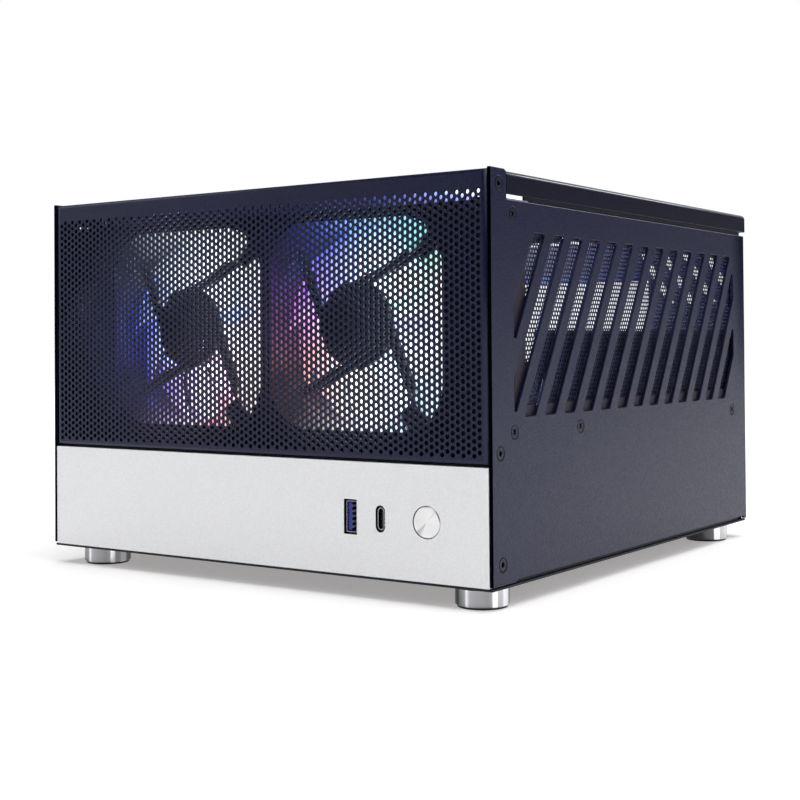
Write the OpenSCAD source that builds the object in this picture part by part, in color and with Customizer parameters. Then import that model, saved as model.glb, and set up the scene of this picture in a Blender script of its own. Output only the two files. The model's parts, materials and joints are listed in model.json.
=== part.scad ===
// Mini-ITX computer case: lift-off top cover, slotted side panels with dust
// filters, perforated front over two 92 mm fans, metal fascia with power
// button and two sockets, four turned feet.
// Front faces -Y, +X is the case's right as the front is looked at, +Z up.
// Origin: centre of the bounding box, on the surface that the feet stand on.

/* [Case] */
// Width over the side panels
body_w = 243.4; // [243.4:0.1:260]
// Depth of the side panels
body_d = 259.7; // [259.7:0.1:280]
// Height of the side panels to the top cover's face
body_h = 160; // [160:0.5:170]
// Thickness of the side panels
side_t = 1.5; // [1.4:0.1:1.6]
// Thickness of the folded inner sheets
sheet_t = 1.0; // [0.8:0.1:1.2]
// How far the top cover stands past the rear edge of the side panels
cover_overhang = 2; // [1.5:0.1:3]

/* [Side slots] */
// Number of slanted slots in each side panel
slot_n = 15; // [15:1:15]
// Distance from slot to slot
slot_pitch = 16.45; // [15:0.05:17]
// Width of a slot along the case
slot_w = 9.5; // [7:0.1:10]
// Lean of the slots to the rear, in degrees
slot_lean = 29.9; // [28:0.1:31]

/* [Front perforation] */
// Draw the round holes of the front panel one by one (slow)
perforate = false; // [false, true]
// Diameter of one hole
hole_d = 1.9; // [1:0.1:2.1]
// Distance between columns of holes
hole_dx = 2.445; // [2.3:0.005:2.45]
// Distance between the holes of a column
hole_dz = 2.866; // [2.6:0.002:2.87]

/* [Fascia] */
// Height of the metal fascia
fascia_h = 46; // [45:0.5:46]
// Thickness of the fascia
fascia_t = 3; // [2.5:0.1:3]
// Diameter of the power button
button_d = 12.6; // [11:0.1:13]
// Travel of the power button
button_travel = 0.8; // [0.4:0.1:0.8]

/* [Fans] */
// Width of a fan frame
fan_w = 92; // [90:0.5:92]
// Depth of a fan frame
fan_d = 25; // [20:1:25]
// Hole spacing of a fan
fan_hole = 82.5; // [80:0.5:82.5]
// Distance between the two fan axes
fan_pitch = 94.6; // [93:0.1:100]
// Blades on each rotor
blade_n = 9; // [5:1:9]

/* [Feet] */
// Diameter of a foot
foot_d = 21.6; // [16:0.1:24]
// Height from the floor plate down to the surface
foot_h = 8.1; // [6:0.1:10]

/* [Hidden] */

hw = body_w / 2;                 // outer face of a side panel
ix = hw - side_t;                // inner face of a side panel
floor_z1 = -0.6;                 // top of the floor plate
floor_z0 = floor_z1 - sheet_t;   // underside of the floor plate
ground_z = floor_z0 - foot_h;    // surface that the case stands on
total_d = body_d + cover_overhang;
fz = 101;                        // height of the fan axes above the panel bottom
fx = fan_pitch / 2;
br_y = 10.8;                     // front face of the fan bracket
fan_y = br_y + 1.2;              // front face of the fans
tray_z = 78;                     // top of the board tray
tray_up = 98.3;                  // top edge of the tray's upstands
rear_y = body_d - 2;             // outer face of the rear panel
cut_z = body_h - 9.1;            // lower edge of the cover's flanges
panel_top = body_h - 11.2;       // top edge of a side panel behind the ear
port_z = 23;
usba_x = 54.3;
usbc_x = 69.2;
btn_x = 91.4;
board_x = -20.6;                   // centre of the main board pattern
board_y = rear_y - 1 - 10.16 - 77.47;
feet = [[-101, 14.5], [108.9, 12.9], [-101, 235.4], [108.9, 235.4]];
drive_c = [70, 120];             // centre of the drive hole pattern
ph_at = [[17.2, 143.4], [17.2, 58.4], [72.3, 57.9], [241.1, 57.9]];
hex_at = [[6.5, 154.5], [6.3, 50.7], [7.5, 8]];
pins_at = [[-108, 19], [108, 19], [-108, 250], [108, 250]];
e = 0.01;

module place() translate([0, -total_d / 2, -ground_z]) children();
module mirrored(on = true) if (on) mirror([1, 0, 0]) children(); else children();

function unit(v) = v / norm(v);
// Points of a corner at p, between a and b, rounded to radius r
function corner(p, a, b, r, n) =
    let (u = unit(a - p), w = unit(b - p), h = acos(u * w) / 2,
        c = p + unit(u + w) * r / sin(h), s = p + u * r / tan(h), t = p + w * r / tan(h))
    [for (i = [0:n]) c + r * unit((s - c) * (1 - i / n) + (t - c) * i / n)];
// Outline pts with every corner rounded
function soft(pts, r, n = 3) = let (m = len(pts))
    [for (i = [0:m - 1]) each corner(pts[i], pts[(i + m - 1) % m], pts[(i + 1) % m], r, n)];
function box_pts(x0, y0, x1, y1) = [[x0, y0], [x1, y0], [x1, y1], [x0, y1]];

// ---- drawing helpers: profiles drawn in a plane and pushed along an axis
module along_x(x0, x1) // 2D x is Y, 2D y is Z
    translate([x0, 0, 0]) rotate([90, 0, 90]) linear_extrude(x1 - x0) children();
module along_y(y0, y1) // 2D x is X, 2D y is Z
    translate([0, y1, 0]) rotate([90, 0, 0]) linear_extrude(y1 - y0) children();
module rod_y(x, z, r, y0, y1) translate([x, y0, z]) rotate([-90, 0, 0]) cylinder(h = y1 - y0, r = r, $fn = 64);
module rod_x(y, z, r, x0, x1) translate([x0, y, z]) rotate([0, 90, 0]) cylinder(h = x1 - x0, r = r, $fn = 48);
module rod_z(x, y, r, z0, z1) translate([x, y, z0]) cylinder(h = z1 - z0, r = r, $fn = 48);
module block(a, b) translate(a) cube(b - a);
module turned(pts) rotate_extrude($fn = 64) polygon(pts);

// ---- side panels
slot_top = 137;
slot_bot = 64;
slot_y0 = 17.2;
slot_y1 = 244.2;
slot_run = tan(slot_lean);
function slot_l(k) = 33.7 + slot_pitch * k;
function at_z(y, lim) = slot_top - (y - lim) / slot_run;
// Outline of slot k, cut off by the field's front and rear limits
function slot_pts(k) = let (l = slot_l(k), r = l + slot_w, fall = (slot_top - slot_bot) * slot_run)
    (l > slot_y1) ? [[slot_y1, at_z(l, slot_y1)], [slot_y1, at_z(r, slot_y1)],
        [r - fall, slot_bot], [l - fall, slot_bot]] :
    (r - fall < slot_y0 + 1) ? [[l, slot_top], [r, slot_top],
        [slot_y0, at_z(r, slot_y0)], [slot_y0, at_z(l, slot_y0)]] :
    [[l, slot_top], [r, slot_top], [r - fall, slot_bot], [l - fall, slot_bot]];
panel_pts = [[0, 0], [17.5, 0], [18.5, 1.1], [body_d - 3.5, 1.1], [body_d - 2.5, -0.3],
    [body_d, -0.3], [body_d, panel_top], [29.5, panel_top], [28.6, panel_top + 0.5],
    [12.2, panel_top + 0.5], [12.2, body_h - 1], [11.8, body_h - 0.1],
    [10.6, body_h + 0.5], [0, body_h + 0.5]];
module side_panel_blank()
    difference() {
        along_x(ix, hw) difference() {
            polygon(panel_pts);
            for (k = [0:slot_n - 1]) polygon(soft(slot_pts(k), 1));
        }
        for (p = concat(ph_at, hex_at)) {
            rod_x(p[0], p[1], 1.6, ix - 1, hw + 1);
            translate([hw - 1.42, p[0], p[1]]) rotate([0, 90, 0])
                cylinder(h = 1.42 + 0.3, r1 = 1.6, r2 = 3.3, $fn = 48);
        }
    }
module right_side_panel() { color("#23263a") place() side_panel_blank(); }
module left_side_panel() { color("#23263a") place() mirrored() side_panel_blank(); }

// countersunk screw with its face at the panel's outer face, driven along -X
module csk_blank() turned([[0, 0], [2.7, 0], [2.7, 0.15], [1.5, 1.35], [1.5, 6.2], [1.2, 6.5], [0, 6.5]]);
module csk_at(y, z) translate([hw - 0.1, y, z]) rotate([0, -90, 0]) children();
module cross_screw() difference() {
    csk_blank();
    for (a = [45, 135]) rotate([0, 0, a]) translate([-1.5, -0.35, -1]) cube([3, 0.7, 2.1]);
}
module socket_screw() difference() {
    csk_blank();
    translate([0, 0, -1]) cylinder(h = 2.2, r = 1.16, $fn = 6);
}
module side_panel_screws() {
    color("#15161c") place() for (m = [false, true]) mirrored(m)
        for (p = ph_at) csk_at(p[0], p[1]) cross_screw();
}
module front_hex_screws() {
    color("#15161c") place() for (m = [false, true]) mirrored(m)
        for (p = hex_at) csk_at(p[0], p[1]) socket_screw();
}

// ---- base: floor, front wall behind the fascia, side flanges
module base_tray() {
    color("#1d1f2a") place() difference() {
        union() {
            block([-hw + 0.5, 0.4, floor_z0], [hw - 0.5, body_d - 0.6, floor_z1]);
            block([-ix + 0.3, fascia_t + 0.1, floor_z1 - e], [ix - 0.3, fascia_t + 0.1 + sheet_t, 46.3]);
            block([-ix + 0.3, fascia_t + 0.1, 45.3], [ix - 0.3, 9.5, 46.3]); // hem along the wall's top
            for (s = [-1, 1]) block([min(s * ix, s * (ix - 1.2)), fascia_t + 0.1, floor_z1 - e],
                [max(s * ix, s * (ix - 1.2)), body_d - 8, 14]);
        }
        // windows in the front wall for the sockets and the button
        block([usba_x - 4, 0, port_z - 8], [usba_x + 4, 8, port_z + 8]);
        block([usbc_x - 3.5, 0, port_z - 7], [usbc_x + 3.5, 8, port_z + 7]);
        rod_y(btn_x, port_z, 7.2, 0, 8);
        // fixing holes of the fascia and of the socket board's bracket
        for (x = [-100, 0, 112]) rod_y(x, 36, 1.7, 0, 8);
        for (x = [44, 102]) rod_y(x, 10, 1.25, 2, 8);
        for (s = [-1, 1]) rod_x(hex_at[2][0], hex_at[2][1], 1.55, s * ix - 3, s * ix + 3);
        for (p = feet) rod_z(p[0], p[1], 2.2, floor_z0 - 1, floor_z1 + 1);
        // one 2.5 inch drive on the floor
        for (sx = [-1, 1], sy = [-1, 1])
            rod_z(drive_c[0] + sx * 30.86, drive_c[1] + sy * 38.3, 1.7, floor_z0 - 1, floor_z1 + 1);
        for (x = [-90, 0, 90]) rod_z(x, rear_y - 6, 1.65, floor_z0 - 1, floor_z1 + 1);
        // air slots under the lower bay
        for (x = [-84:12:-12]) block([x - 2, 60, floor_z0 - 1], [x + 2, 180, floor_z1 + 1]);
    }
}

// ---- rear panel
psu_x0 = -104; psu_x1 = -22; psu_z0 = 6; psu_z1 = 47;
io_x0 = board_x - 85 + 14.9; io_x1 = io_x0 + 158.75; io_z0 = tray_z + 4.3; io_z1 = io_z0 + 44.45;
pci_x = [io_x0 - 10];            // one low card slot
// Slanted air slot k beside the board's sockets, from height z0 up
function vent_pts(k, z0 = 113.5) = let (x = 59.8 + 12 * k, c = x + 9.9 - 0.6 * (z0 - 113.5))
    [[c - 2, z0], [c + 2, z0], [x - 6.9 + 2, 141.5], [x - 6.9 - 2, 141.5]];
module rear_panel() {
    color("#1d1f2a") place() difference() {
        union() {
            block([-ix + 0.3, rear_y - sheet_t, floor_z1], [ix - 0.3, rear_y, 147.6]);
            block([-ix + 1.5, rear_y - 12, floor_z1], [ix - 1.5, rear_y - sheet_t + e, floor_z1 + sheet_t]);
            block([-ix + 1.8, rear_y - 14, 146.6], [ix - 1.8, rear_y - sheet_t + e, 147.6]);
            for (s = [-1, 1]) block([min(s * (ix - 0.3), s * (ix - 1.3)), rear_y - 8.5, 14.5],
                [max(s * (ix - 0.3), s * (ix - 1.3)), rear_y - sheet_t + e, 50]);
        }
        block([io_x0, rear_y - 5, io_z0], [io_x1, rear_y + 5, io_z1]);
        block([psu_x0, rear_y - 5, psu_z0], [psu_x1, rear_y + 5, psu_z1]);
        for (x = pci_x) {
            block([x - 6.4, rear_y - 5, 85], [x + 6.4, rear_y + 5, 134]);
            rod_y(x, 138.5, 1.55, rear_y - 5, rear_y + 5);
        }
        // slanted air slots beside the board's sockets, upright ones beside the supply
        for (k = [1:4]) along_y(rear_y - 5, rear_y + 5) polygon(soft(vent_pts(k, k == 4 ? 121 : 113.5), 0.8));
        for (x = [0:8:104]) block([x - 2, rear_y - 5, 10], [x + 2, rear_y + 5, 44]);
        for (x = [-90, 0, 90]) rod_z(x, rear_y - 6, 1.65, floor_z1 - 1, floor_z1 + 3);
        for (i = [2, 3]) rod_z(pins_at[i][0], pins_at[i][1], 4, 145, 149);
    }
}
module rear_panel_rivets() {
    color("#8e9096") place() for (x = [-90, 0, 90]) translate([x, rear_y - 6, 0])
        turned([[0, floor_z0 - 0.9], [2.6, floor_z0 - 0.6], [3, floor_z0], [1.6, floor_z0],
            [1.6, floor_z1 + sheet_t], [2.6, floor_z1 + sheet_t], [2.2, floor_z1 + sheet_t + 0.8],
            [0, floor_z1 + sheet_t + 1]]);
}

// ---- blank in the low card slot, a strip with a folded head
module slot_covers() {
    color("#2a2c34") place() for (x = pci_x) difference() {
        union() {
            block([x - 9.2, rear_y - 2 * sheet_t - 0.05, 82], [x + 9.2, rear_y - sheet_t - 0.05, 142.5]);
            block([x - 9.2, rear_y - 8, 141.5], [x + 9.2, rear_y - 2 * sheet_t, 142.5]);
        }
        rod_y(x, 138.5, 1.55, rear_y - 5, rear_y + 5);
        for (z = [90:6:132]) block([x - 4, rear_y - 4, z - 1.2], [x + 4, rear_y + 1, z + 1.2]);
    }
}
module slot_cover_screws() {
    color("#b9bcc2") place() for (x = pci_x) translate([x, rear_y + 1.9, 138.5]) rotate([90, 0, 0]) difference() {
        turned([[0, 0], [2.2, 0], [2.8, 0.7], [2.8, 1.9], [1.5, 1.9], [1.5, 7], [0, 7]]);
        for (a = [0, 90]) rotate([0, 0, a]) translate([-1.7, -0.4, -1]) cube([3.4, 0.8, 2]);
    }
}

// ---- top cover: folded sheet, open at the front
module cover_outline(d) // section across the case, drawn in X and Z
    polygon(concat([[-hw + d, cut_z]], [[hw - d, cut_z]],
        corner([hw - d, body_h - d], [hw - d, 0], [-hw, body_h - d], 2.2 - d, 6),
        corner([-hw + d, body_h - d], [hw, body_h - d], [-hw + d, 0], 2.2 - d, 6)));
module cover_side(d) // section along the case, drawn in Y and Z
    polygon(concat([[12.6, cut_z]], [[total_d - d, cut_z]],
        corner([total_d - d, body_h - d], [total_d - d, 0], [0, body_h - d], 2.2 - d, 6),
        [[12.6, body_h - d]]));
module top_cover() {
    color("#23263a") place() difference() {
        intersection() { along_y(12.6, total_d) cover_outline(0); along_x(-hw, hw) cover_side(0); }
        intersection() {
            translate([0, -1, 0]) along_y(12.6, total_d) cover_outline(1.2);
            along_x(-hw, hw) translate([-1, 0]) cover_side(0.2);
            block([-hw, 0, cut_z - 3], [hw, total_d - 1.2, body_h + 1]);
        }
        block([-hw + 1.2, 0, cut_z - 1], [hw - 1.2, total_d - 1.2, cut_z + 1]);
    }
}
// joggled strips welded inside the cover's flanges, standing down behind the side panels
module rail_section(low) polygon([[hw - 1.2, 157], [hw - 1.2, 152.2], [ix - 0.4, 151.2], [ix - 0.4, low],
    [ix - 1.4, low], [ix - 1.4, 151.7], [hw - 2.2, 152.8], [hw - 2.2, 157]]);
module cover_rails() {
    color("#1d1f2a") place() for (m = [false, true]) mirrored(m) {
        along_y(29.5, body_d - 6) rail_section(144.2);
        along_y(body_d - 6.1, body_d - 1.5) rail_section(147.9); // short over the rear panel
    }
}
module cover_pins() {
    color("#b9bcc2") place() for (p = pins_at) translate([p[0], p[1], 0])
        turned([[0, 143.6], [1.2, 143.6], [2, 144.6], [2, 155.8], [3.4, 156.4], [3.4, body_h - 1.2], [0, body_h - 1.2]]);
}
module pin_grommets() {
    color("#111216") place() for (i = [0:3]) translate([pins_at[i][0], pins_at[i][1], (i < 2) ? 148.9 : 147.1])
        turned([[2.08, -2], [5.2, -2], [5.2, -0.5], [3.95, -0.5], [3.95, 0.5], [5.2, 0.5], [5.2, 1.8], [2.08, 1.8]]);
}

// ---- front mesh panel: folded pan with rounded vertical edges
mesh_x = ix - 0.25;
mesh_z0 = 46.6;
module pan_xy(d, r) polygon(concat([[-mesh_x + d, 10.2]], [[-mesh_x + d, 6]],
    corner([-mesh_x + d, d], [-mesh_x + d, 20], [mesh_x, d], r - d, 5),
    corner([mesh_x - d, d], [-mesh_x, d], [mesh_x - d, 20], r - d, 5), [[mesh_x - d, 10.2]]));
module pan_yz(d, r) polygon(concat([[11.9, body_h - d]],
    corner([d, body_h - d], [20, body_h - d], [d, 0], r - d, 4),
    corner([d, mesh_z0 + d], [d, 200], [20, mesh_z0 + d], r - d, 4), [[11.9, mesh_z0 + d]]));
module front_mesh_panel() {
    color("#262a3d") place() difference() {
        union() {
            difference() {
                intersection() {
                    translate([0, 0, mesh_z0 - 1]) linear_extrude(body_h) pan_xy(0, 2.4);
                    along_x(-hw, hw) pan_yz(0, 1.4);
                }
                intersection() {
                    translate([0, 0, mesh_z0 - 1]) linear_extrude(body_h)
                        polygon(concat([[-mesh_x + sheet_t, 20]],
                            corner([-mesh_x + sheet_t, sheet_t], [-mesh_x + sheet_t, 20], [mesh_x, sheet_t], 1.4, 5),
                            corner([mesh_x - sheet_t, sheet_t], [-mesh_x, sheet_t], [mesh_x - sheet_t, 20], 1.4, 5),
                            [[mesh_x - sheet_t, 20]]));
                    along_x(-hw, hw) polygon(concat([[20, body_h - sheet_t]],
                        corner([sheet_t, body_h - sheet_t], [20, body_h - sheet_t], [sheet_t, 0], 0.5, 4),
                        corner([sheet_t, mesh_z0 + sheet_t], [sheet_t, 200], [20, mesh_z0 + sheet_t], 0.5, 4),
                        [[20, mesh_z0 + sheet_t]]));
                }
            }
            block([-mesh_x + 3, 9, body_h - sheet_t], [mesh_x - 3, 11.9, body_h]);
        }
        for (s = [-1, 1], i = [0, 1]) rod_x(hex_at[i][0], hex_at[i][1], 1.55, s * mesh_x - 3, s * mesh_x + 3);
        if (perforate) for (c = [0:95], r = [0:35])
            rod_y((c - 47.5) * hole_dx, 151.5 - r * hole_dz - (c % 2 == 0 ? hole_dz / 2 : 0), hole_d / 2, -1, 2);
    }
}

// ---- metal fascia
module front_fascia() {
    color("#d6d8dd") place() difference() {
        block([-ix + 0.2, 0, -0.5], [ix - 0.2, fascia_t, -0.5 + fascia_h]);
        along_y(-1, 5) polygon(soft(box_pts(usba_x - 3.3, port_z - 7.1, usba_x + 3.3, port_z + 7.1), 0.4));
        along_y(-1, 5) { // slot with round ends
            translate([usbc_x, port_z - 3.1]) circle(r = 2.3, $fn = 48);
            translate([usbc_x, port_z + 3.1]) circle(r = 2.3, $fn = 48);
            translate([usbc_x - 2.3, port_z - 3.1]) square([4.6, 6.2]);
        }
        rod_y(btn_x, port_z, button_d / 2 + 0.25, -1, 5);
        for (x = [-100, 0, 112]) rod_y(x, 36, 1.3, 0.8, 5);
    }
}
module fascia_screws() {
    color("#9a9ca2") place() for (x = [-100, 0, 112]) translate([x, fascia_t + 0.1 + sheet_t + 1.9, 36]) rotate([90, 0, 0]) difference() {
        turned([[0, 0], [2.2, 0], [2.8, 0.7], [2.8, 1.88], [1.25, 1.88], [1.25, 4.6], [0, 4.6]]);
        for (a = [0, 90]) rotate([0, 0, a]) translate([-1.7, -0.4, -1]) cube([3.4, 0.8, 2]);
    }
}

// ---- fan bracket
module fan_bracket() {
    color("#1a1c26") place() difference() {
        union() {
            block([-ix + 0.3, br_y, 47.9], [ix - 0.3, br_y + 1.2, 149.4]);
            for (s = [-1, 1]) block([min(s * (ix - 0.05), s * (ix - 1.25)), br_y, 52],
                [max(s * (ix - 0.05), s * (ix - 1.25)), 19.7, 148]);
            block([-ix + 6, br_y + 1.2 - e, 148.4], [ix - 6, 25, 149.4]);
        }
        for (s = [-1, 1]) {
            along_y(br_y - 1, br_y + 3) polygon(soft(box_pts(s * fx - 45, fz - 44, s * fx + 45, fz + 44), 20, 8));
            for (a = [-1, 1], b = [-1, 1]) rod_y(s * fx + a * fan_hole / 2, fz + b * fan_hole / 2, 2.1, br_y - 1, br_y + 3);
            for (i = [0, 1]) rod_x(ph_at[i][0], ph_at[i][1], 1.55, s * ix - 3, s * ix + 3);
        }
        for (i = [0, 1]) rod_z(pins_at[i][0], pins_at[i][1], 4, 147, 151);
    }
}

// ---- fans: square frame with four arms in front, rotor behind them
module fan_frame() {
    h = fan_w / 2;
    difference() {
        along_y(fan_y, fan_y + fan_d) polygon(soft(box_pts(-h, -h, h, h), 4, 4));
        rod_y(0, 0, 43, fan_y - 1, fan_y + fan_d + 1);
        for (a = [-1, 1], b = [-1, 1]) rod_y(a * fan_hole / 2, b * fan_hole / 2, 1.9, fan_y - 1, fan_y + fan_d + 1);
        // waist between the two flanges
        along_y(fan_y + 4, fan_y + fan_d - 4) difference() {
            square([h * 2 + 4, h * 2 + 4], center = true);
            circle(r = 45.2, $fn = 96);
            for (a = [-1, 1], b = [-1, 1]) translate([a * fan_hole / 2, b * fan_hole / 2]) circle(r = 4, $fn = 32);
        }
    }
    // four arms, each set to one side of the axis
    for (a = [24:90:294]) rotate([0, -a, 0]) block([3, fan_y + 1.6, 12.4], [41.6, fan_y + 3.9, 16.6]);
    difference() {
        union() {
            rod_y(0, 0, 18.2, fan_y + 1.5, fan_y + 4);
            rod_y(0, 0, 4, fan_y + 3.3, fan_y + 17);
        }
        rod_y(0, 0, 1.55, fan_y + 2.6, fan_y + 18);
    }
}
module fan_rotor() {
    rod_y(0, 0, 1.5, fan_y + 4, fan_y + 21);
    difference() {
        rod_y(0, 0, 18, fan_y + 4.6, fan_y + 22);
        rod_y(0, 0, 16.4, fan_y + 3, fan_y + 20.5);
    }
    intersection() {
        difference() {
            rod_y(0, 0, 41.8, fan_y + 4.8, fan_y + 22);
            rod_y(0, 0, 17.5, fan_y + 4, fan_y + 23);
        }
        for (i = [0:blade_n - 1]) rotate([0, i * 360 / blade_n, 0])
            translate([17, fan_y + 13.4, 0]) rotate([38, 0, 0]) translate([0, -0.8, -15]) cube([27, 1.6, 30]);
    }
}
module fan_stator() // four wound poles on the bearing tube
    difference() {
        union() {
            rod_y(0, 0, 8, fan_y + 5, fan_y + 15);
            for (a = [0, 90, 180, 270]) rotate([0, a, 0]) {
                block([6, fan_y + 6, -2.5], [13, fan_y + 14, 2.5]);
                block([12.5, fan_y + 6, -7], [14.5, fan_y + 14, 7]);
            }
        }
        rod_y(0, 0, 4.05, fan_y + 4, fan_y + 16);
    }
module fan_frame_left() { color("#14151b") place() translate([-fx, 0, fz]) fan_frame(); }
module fan_frame_right() { color("#14151b") place() translate([fx, 0, fz]) fan_frame(); }
module fan_rotor_left() { color("#cfe0ff") place() translate([-fx, 0, fz]) fan_rotor(); }
module fan_rotor_right() { color("#cfe0ff") place() translate([fx, 0, fz]) fan_rotor(); }
module fan_stator_left() { color("#a8622d") place() translate([-fx, 0, fz]) fan_stator(); }
module fan_stator_right() { color("#a8622d") place() translate([fx, 0, fz]) fan_stator(); }
module fan_screws() {
    color("#15161c") place() for (s = [-1, 1], a = [-1, 1], b = [-1, 1])
        translate([s * fx + a * fan_hole / 2, br_y - 2.2, fz + b * fan_hole / 2]) rotate([-90, 0, 0]) difference() {
            turned([[0, 0], [2.6, 0], [3.6, 0.9], [3.6, 2.2], [1.85, 2.2], [1.85, 9], [1.2, 11], [0, 11]]);
            for (q = [0, 90]) rotate([0, 0, q]) translate([-2, -0.45, -1]) cube([4, 0.9, 2.2]);
        }
}

// ---- tray that carries the main board, hung between the side panels
module mid_tray() {
    color("#1d1f2a") place() difference() {
        union() {
            block([-ix + 3, 42, tray_z - 1.2], [ix - 3, rear_y - sheet_t - 0.3, tray_z]);
            // joggled sides: screwed to the side panels below, standing up inside the dust filters above
            for (m = [false, true]) mirrored(m) along_y(42, rear_y - 9) polygon([[ix - 0.05, 52.5], [ix - 0.05, 62.5],
                [ix - 2.4, 62.5], [ix - 2.4, tray_up], [ix - 3.6, tray_up], [ix - 3.6, 61.3], [ix - 1.25, 61.3], [ix - 1.25, 52.5]]);
            block([-ix + 3, 42, 61.3], [ix - 3, 43.2, tray_z - 1.2 + e]);
        }
        for (s = [-1, 1], i = [2, 3]) rod_x(ph_at[i][0], ph_at[i][1], 1.55, s * ix - 3, s * ix + 3);
        for (a = [-1, 1], b = [-1, 1])
            rod_z(board_x + a * 78.74, board_y + b * 77.47, 1.6, tray_z - 3, tray_z + 1);
        // passage for leads, and a window under the processor
        block([76, 60, tray_z - 3], [106, 200, tray_z + 2]);
        block([board_x - 35, board_y - 30, tray_z - 3], [board_x + 35, board_y + 40, tray_z + 2]);
    }
}
module board_standoffs() {
    color("#c9a24a") place() for (a = [-1, 1], b = [-1, 1])
        translate([board_x + a * 78.74, board_y + b * 77.47, 0]) difference() {
            union() {
                translate([0, 0, tray_z]) cylinder(h = 6.5, r = 3, $fn = 6);
                translate([0, 0, tray_z - 3]) cylinder(h = 3 + e, r = 1.5, $fn = 48);
            }
            translate([0, 0, tray_z + 1.2]) cylinder(h = 8, r = 1.25, $fn = 48);
        }
}

// ---- dust filters behind the side slots
fil_y0 = 20; fil_y1 = 254; fil_z0 = 63.2; fil_z1 = 142.4;
fo_y0 = 28.9; fo_y1 = 246.6; fo_z0 = 68.4; fo_z1 = 136.1;
module filter_frame()
    difference() {
        block([ix - 1.55, fil_y0, fil_z0], [ix - 0.05, fil_y1, fil_z1]);
        block([ix - 5, fo_y0, fo_z0], [ix + 5, fo_y1, fo_z1]);
    }
module filter_mesh()
    block([ix - 2.05, fil_y0 + 1, fil_z0 + 1], [ix - 1.55, fil_y1 - 1, fil_z1 - 1]);
module filter_frame_left() { color("#2b2528") place() mirrored() filter_frame(); }
module filter_frame_right() { color("#2b2528") place() filter_frame(); }
module filter_mesh_left() { color("#1b1c24") place() mirrored() filter_mesh(); }
module filter_mesh_right() { color("#1b1c24") place() filter_mesh(); }

// ---- power button
module power_button_cap() {
    color("#e6e7ea") place() translate([btn_x, 0, port_z]) rotate([-90, 0, 0])
        turned([[0, 0], [button_d / 2 - 0.35, 0], [button_d / 2, 0.35], [button_d / 2, 4.6],
            [3, 4.6], [3, 9.2], [0, 9.2]]);
}
module button_housing() { // sleeve clipped behind the fascia, guides the stem
    color("#15161c") place() translate([btn_x, 0, port_z]) rotate([-90, 0, 0])
        turned([[6.6, fascia_t + 0.05], [7.1, fascia_t + 0.05], [7.1, fascia_t + 1.2], [9.5, fascia_t + 1.2],
            [9.5, fascia_t + 2], [7.1, fascia_t + 2], [7.1, 9.4], [3.08, 9.4], [3.08, 7], [6.6, 7]]);
}
module power_switch() {
    color("#2c2d33") place() {
        block([btn_x - 3, 11.2, port_z - 3], [btn_x + 3, 14.6, port_z + 3]);
        rod_y(btn_x, port_z, 1.7, 10.2, 11.3);
    }
}

// ---- socket board
board_py = 14.6;
module io_board() {
    color("#1f5a3a") place() difference() {
        block([46, board_py, 12], [100, board_py + 1.6, 34]);
        for (x = [49, 98]) rod_y(x, 15, 1.3, board_py - 1, board_py + 3);
    }
}
module io_bracket() { // folded sheet: two feet on the front wall, board carried behind it
    color("#9da0a6") place() difference() {
        union() {
            block([40, board_py + 1.6, 11.5], [106, board_py + 2.6, 18.5]);
            for (s = [0, 1]) {
                block([s ? 105 : 40, fascia_t + 0.1 + sheet_t + 1 - e, 7], [s ? 106 : 41, board_py + 2.6, 18.5]);
                block([s ? 99 : 40, fascia_t + 0.1 + sheet_t, 7], [s ? 106 : 47, fascia_t + 0.1 + sheet_t + 1, 13]);
            }
        }
        for (x = [49, 98]) rod_y(x, 15, 1.25, board_py, board_py + 4);
        for (x = [44, 102]) rod_y(x, 10, 1.7, 2, 8);
    }
}
module io_board_screws() {
    color("#b9bcc2") place() {
        for (x = [49, 98]) translate([x, board_py - 1.6, 15]) rotate([-90, 0, 0])
            turned([[0, 0], [1.6, 0], [2.2, 0.6], [2.2, 1.6], [1.2, 1.6], [1.2, 5], [0, 5]]);
        for (x = [44, 102]) translate([x, fascia_t + 0.1 + sheet_t + 2.6, 10]) rotate([90, 0, 0])
            turned([[0, 0], [1.6, 0], [2.2, 0.6], [2.2, 1.6], [1.2, 1.6], [1.2, 3.4], [0, 3.4]]);
    }
}
module usb_a_shell() {
    color("#b9bcc2") place() difference() {
        block([usba_x - 2.65, 0.9, port_z - 6.35], [usba_x + 2.65, board_py, port_z + 6.35]);
        block([usba_x - 2.35, 0, port_z - 6.05], [usba_x + 2.35, board_py - 1.2, port_z + 6.05]);
    }
}
module usb_a_tongue() {
    color("#2440c8") place() {
        block([usba_x - 1.9, 1.4, port_z - 5.6], [usba_x - 0.2, board_py - 2.6, port_z + 5.6]);
        block([usba_x - 2.25, board_py - 3.6, port_z - 5.95], [usba_x + 2.25, board_py - 1.2, port_z + 5.95]);
    }
}
module usb_a_contacts() {
    color("#d9b65a") place() for (i = [-2:2])
        block([usba_x - 0.2, 1.8, port_z + i * 2.1 - 0.4], [usba_x + 0.1, 8, port_z + i * 2.1 + 0.4]);
}
module stadium(r, l) { translate([0, -l]) circle(r = r, $fn = 48); translate([0, l]) circle(r = r, $fn = 48); translate([-r, -l]) square([2 * r, 2 * l]); }
module usb_c_shell() {
    color("#b9bcc2") place() translate([usbc_x, 0, port_z]) difference() {
        along_y(0.5, board_py) stadium(1.65, 2.9);
        along_y(0, board_py - 1.2) stadium(1.3, 2.9);
    }
}
module usb_c_tongue() {
    color("#1a1b20") place() translate([usbc_x, 0, port_z]) {
        block([-0.35, 1.6, -3.2], [0.35, board_py - 1.2, 3.2]);
        along_y(board_py - 2.6, board_py - 1.2) stadium(1.26, 2.9);
    }
}

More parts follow.
